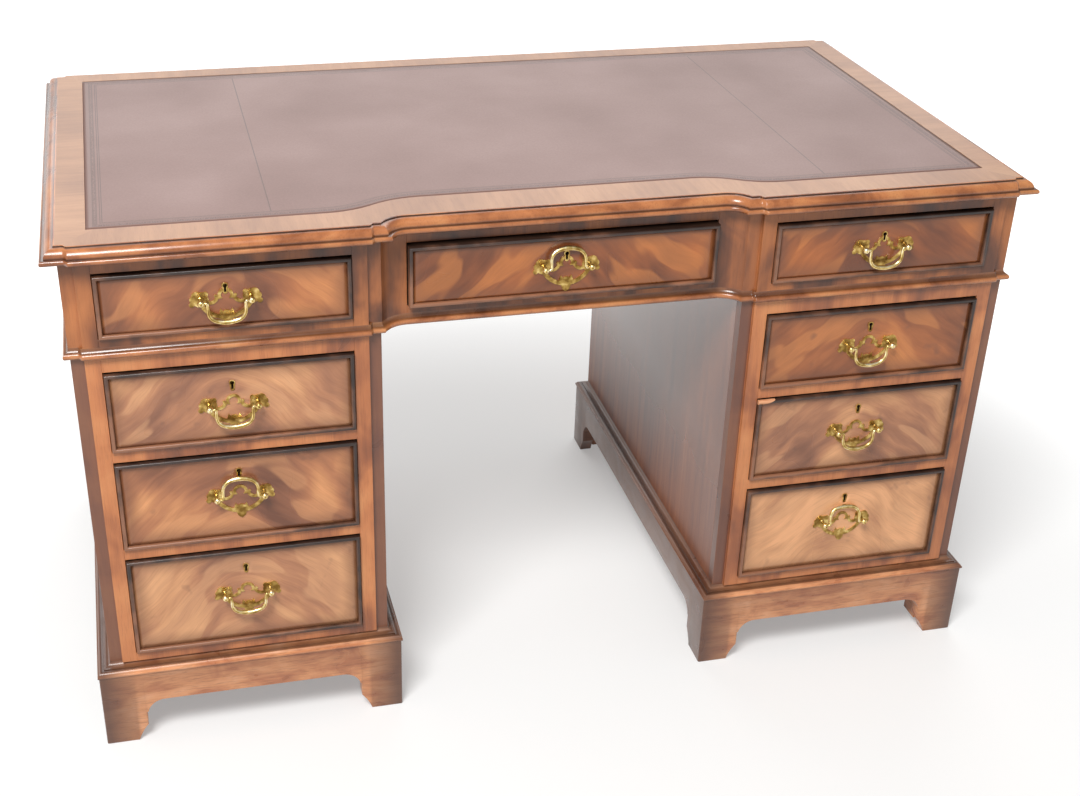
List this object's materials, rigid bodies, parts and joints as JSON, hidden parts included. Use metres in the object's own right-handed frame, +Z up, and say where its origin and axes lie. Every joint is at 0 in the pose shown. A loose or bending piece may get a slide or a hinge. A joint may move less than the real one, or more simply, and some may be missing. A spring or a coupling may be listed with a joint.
{
  "type": "pedestal desk",
  "caption": "Mahogany pedestal desk with a leather-lined top, frieze drawers over a kneehole, pedestals of graduated drawers, brass bail handles and bracket feet.",
  "frame": {"origin": "on the floor under the centre of the desk's bounding box", "axes": "+X to the right along the front, +Z up, the front with the drawers faces -Y"},
  "size_m": [1.372, 0.755, 0.787],
  "materials": {
    "mahogany": "french polished",
    "flame_mahogany": "french polished veneer",
    "oak": "bare planed wood",
    "leather": "semi-gloss with tooled border",
    "brass": "polished"
  },
  "bodies": {
    "desk": {"top_board": "mahogany", "leather_inset": "leather", "top_edge_moulding": "mahogany", "frieze_front_frame": "mahogany", "frieze_case": "mahogany", "frieze_runners": "oak", "waist_moulding": "mahogany", "left_pedestal_case": "mahogany", "left_pedestal_front_frame": "mahogany", "left_pedestal_runners": "oak", "left_plinth": "mahogany", "right_pedestal_case": "mahogany", "right_pedestal_front_frame": "mahogany", "right_pedestal_runners": "oak", "right_plinth": "mahogany"},
    "left_frieze_drawer": {"left_frieze_drawer_front": "flame_mahogany", "left_frieze_drawer_box": "oak", "left_frieze_drawer_brass": "brass"},
    "left_frieze_drawer_handle": {"left_frieze_drawer_bail": "brass"},
    "left_frieze_drawer_bolt": {"left_frieze_drawer_lock_bolt": "brass"},
    "centre_frieze_drawer": {"centre_frieze_drawer_front": "flame_mahogany", "centre_frieze_drawer_box": "oak", "centre_frieze_drawer_brass": "brass"},
    "centre_frieze_drawer_handle": {"centre_frieze_drawer_bail": "brass"},
    "centre_frieze_drawer_bolt": {"centre_frieze_drawer_lock_bolt": "brass"},
    "right_frieze_drawer": {"right_frieze_drawer_front": "flame_mahogany", "right_frieze_drawer_box": "oak", "right_frieze_drawer_brass": "brass"},
    "right_frieze_drawer_handle": {"right_frieze_drawer_bail": "brass"},
    "right_frieze_drawer_bolt": {"right_frieze_drawer_lock_bolt": "brass"},
    "left_upper_drawer": {"left_upper_drawer_front": "flame_mahogany", "left_upper_drawer_box": "oak", "left_upper_drawer_brass": "brass"},
    "left_upper_drawer_handle": {"left_upper_drawer_bail": "brass"},
    "left_upper_drawer_bolt": {"left_upper_drawer_lock_bolt": "brass"},
    "left_middle_drawer": {"left_middle_drawer_front": "flame_mahogany", "left_middle_drawer_box": "oak", "left_middle_drawer_brass": "brass"},
    "left_middle_drawer_handle": {"left_middle_drawer_bail": "brass"},
    "left_middle_drawer_bolt": {"left_middle_drawer_lock_bolt": "brass"},
    "left_lower_drawer": {"left_lower_drawer_front": "flame_mahogany", "left_lower_drawer_box": "oak", "left_lower_drawer_brass": "brass"},
    "left_lower_drawer_handle": {"left_lower_drawer_bail": "brass"},
    "left_lower_drawer_bolt": {"left_lower_drawer_lock_bolt": "brass"},
    "right_upper_drawer": {"right_upper_drawer_front": "flame_mahogany", "right_upper_drawer_box": "oak", "right_upper_drawer_brass": "brass"},
    "right_upper_drawer_handle": {"right_upper_drawer_bail": "brass"},
    "right_upper_drawer_bolt": {"right_upper_drawer_lock_bolt": "brass"},
    "right_middle_drawer": {"right_middle_drawer_front": "flame_mahogany", "right_middle_drawer_box": "oak", "right_middle_drawer_brass": "brass"},
    "right_middle_drawer_handle": {"right_middle_drawer_bail": "brass"},
    "right_middle_drawer_bolt": {"right_middle_drawer_lock_bolt": "brass"},
    "right_lower_drawer": {"right_lower_drawer_front": "flame_mahogany", "right_lower_drawer_box": "oak", "right_lower_drawer_brass": "brass"},
    "right_lower_drawer_handle": {"right_lower_drawer_bail": "brass"},
    "right_lower_drawer_bolt": {"right_lower_drawer_lock_bolt": "brass"}
  },
  "joints": [
    {"name": "left_frieze_drawer_slide", "type": "slide", "parent": "desk", "child": "left_frieze_drawer", "axis": [0, -1, 0], "range_m": [0, 0.4]},
    {"name": "left_frieze_drawer_bail_swing", "type": "hinge", "parent": "left_frieze_drawer", "child": "left_frieze_drawer_handle", "pos_m": [-0.4615, -0.371, 0.7005], "axis": [-1, 0, 0], "range_deg": [-16, 162]},
    {"name": "left_frieze_drawer_bolt_slide", "type": "slide", "parent": "left_frieze_drawer", "child": "left_frieze_drawer_bolt", "axis": [0, 0, 1], "range_m": [0, 0.009]},
    {"name": "centre_frieze_drawer_slide", "type": "slide", "parent": "desk", "child": "centre_frieze_drawer", "axis": [0, -1, 0], "range_m": [-0.008, 0.392]},
    {"name": "centre_frieze_drawer_bail_swing", "type": "hinge", "parent": "centre_frieze_drawer", "child": "centre_frieze_drawer_handle", "pos_m": [0, -0.353, 0.7005], "axis": [1, 0, 0], "range_deg": [0, 178]},
    {"name": "centre_frieze_drawer_bolt_slide", "type": "slide", "parent": "centre_frieze_drawer", "child": "centre_frieze_drawer_bolt", "axis": [0, 0, 1], "range_m": [0, 0.009]},
    {"name": "right_frieze_drawer_slide", "type": "slide", "parent": "desk", "child": "right_frieze_drawer", "axis": [0, -1, 0], "range_m": [0, 0.4]},
    {"name": "right_frieze_drawer_bail_swing", "type": "hinge", "parent": "right_frieze_drawer", "child": "right_frieze_drawer_handle", "pos_m": [0.4615, -0.371, 0.7005], "axis": [-1, 0, 0], "range_deg": [-16, 162]},
    {"name": "right_frieze_drawer_bolt_slide", "type": "slide", "parent": "right_frieze_drawer", "child": "right_frieze_drawer_bolt", "axis": [0, 0, 1], "range_m": [0, 0.009]},
    {"name": "left_upper_drawer_slide", "type": "slide", "parent": "desk", "child": "left_upper_drawer", "axis": [0, -1, 0], "range_m": [0, 0.4]},
    {"name": "left_upper_drawer_bail_swing", "type": "hinge", "parent": "left_upper_drawer", "child": "left_upper_drawer_handle", "pos_m": [-0.4615, -0.37, 0.5445], "axis": [-1, 0, 0], "range_deg": [-16, 162]},
    {"name": "left_upper_drawer_bolt_slide", "type": "slide", "parent": "left_upper_drawer", "child": "left_upper_drawer_bolt", "axis": [0, 0, 1], "range_m": [0, 0.009]},
    {"name": "left_middle_drawer_slide", "type": "slide", "parent": "desk", "child": "left_middle_drawer", "axis": [0, -1, 0], "range_m": [0, 0.4]},
    {"name": "left_middle_drawer_bail_swing", "type": "hinge", "parent": "left_middle_drawer", "child": "left_middle_drawer_handle", "pos_m": [-0.4615, -0.37, 0.402], "axis": [1, 0, 0], "range_deg": [0, 178]},
    {"name": "left_middle_drawer_bolt_slide", "type": "slide", "parent": "left_middle_drawer", "child": "left_middle_drawer_bolt", "axis": [0, 0, 1], "range_m": [0, 0.009]},
    {"name": "left_lower_drawer_slide", "type": "slide", "parent": "desk", "child": "left_lower_drawer", "axis": [0, -1, 0], "range_m": [0, 0.4]},
    {"name": "left_lower_drawer_bail_swing", "type": "hinge", "parent": "left_lower_drawer", "child": "left_lower_drawer_handle", "pos_m": [-0.4615, -0.37, 0.2375], "axis": [-1, 0, 0], "range_deg": [-16, 162]},
    {"name": "left_lower_drawer_bolt_slide", "type": "slide", "parent": "left_lower_drawer", "child": "left_lower_drawer_bolt", "axis": [0, 0, 1], "range_m": [0, 0.009]},
    {"name": "right_upper_drawer_slide", "type": "slide", "parent": "desk", "child": "right_upper_drawer", "axis": [0, -1, 0], "range_m": [0, 0.4]},
    {"name": "right_upper_drawer_bail_swing", "type": "hinge", "parent": "right_upper_drawer", "child": "right_upper_drawer_handle", "pos_m": [0.4615, -0.37, 0.5445], "axis": [-1, 0, 0], "range_deg": [-16, 162]},
    {"name": "right_upper_drawer_bolt_slide", "type": "slide", "parent": "right_upper_drawer", "child": "right_upper_drawer_bolt", "axis": [0, 0, 1], "range_m": [0, 0.009]},
    {"name": "right_middle_drawer_slide", "type": "slide", "parent": "desk", "child": "right_middle_drawer", "axis": [0, -1, 0], "range_m": [0, 0.4]},
    {"name": "right_middle_drawer_bail_swing", "type": "hinge", "parent": "right_middle_drawer", "child": "right_middle_drawer_handle", "pos_m": [0.4615, -0.37, 0.402], "axis": [-1, 0, 0], "range_deg": [-16, 162]},
    {"name": "right_middle_drawer_bolt_slide", "type": "slide", "parent": "right_middle_drawer", "child": "right_middle_drawer_bolt", "axis": [0, 0, 1], "range_m": [0, 0.009]},
    {"name": "right_lower_drawer_slide", "type": "slide", "parent": "desk", "child": "right_lower_drawer", "axis": [0, -1, 0], "range_m": [0, 0.4]},
    {"name": "right_lower_drawer_bail_swing", "type": "hinge", "parent": "right_lower_drawer", "child": "right_lower_drawer_handle", "pos_m": [0.4615, -0.37, 0.2375], "axis": [1, 0, 0], "range_deg": [0, 178]},
    {"name": "right_lower_drawer_bolt_slide", "type": "slide", "parent": "right_lower_drawer", "child": "right_lower_drawer_bolt", "axis": [0, 0, 1], "range_m": [0, 0.009]}
  ]
}
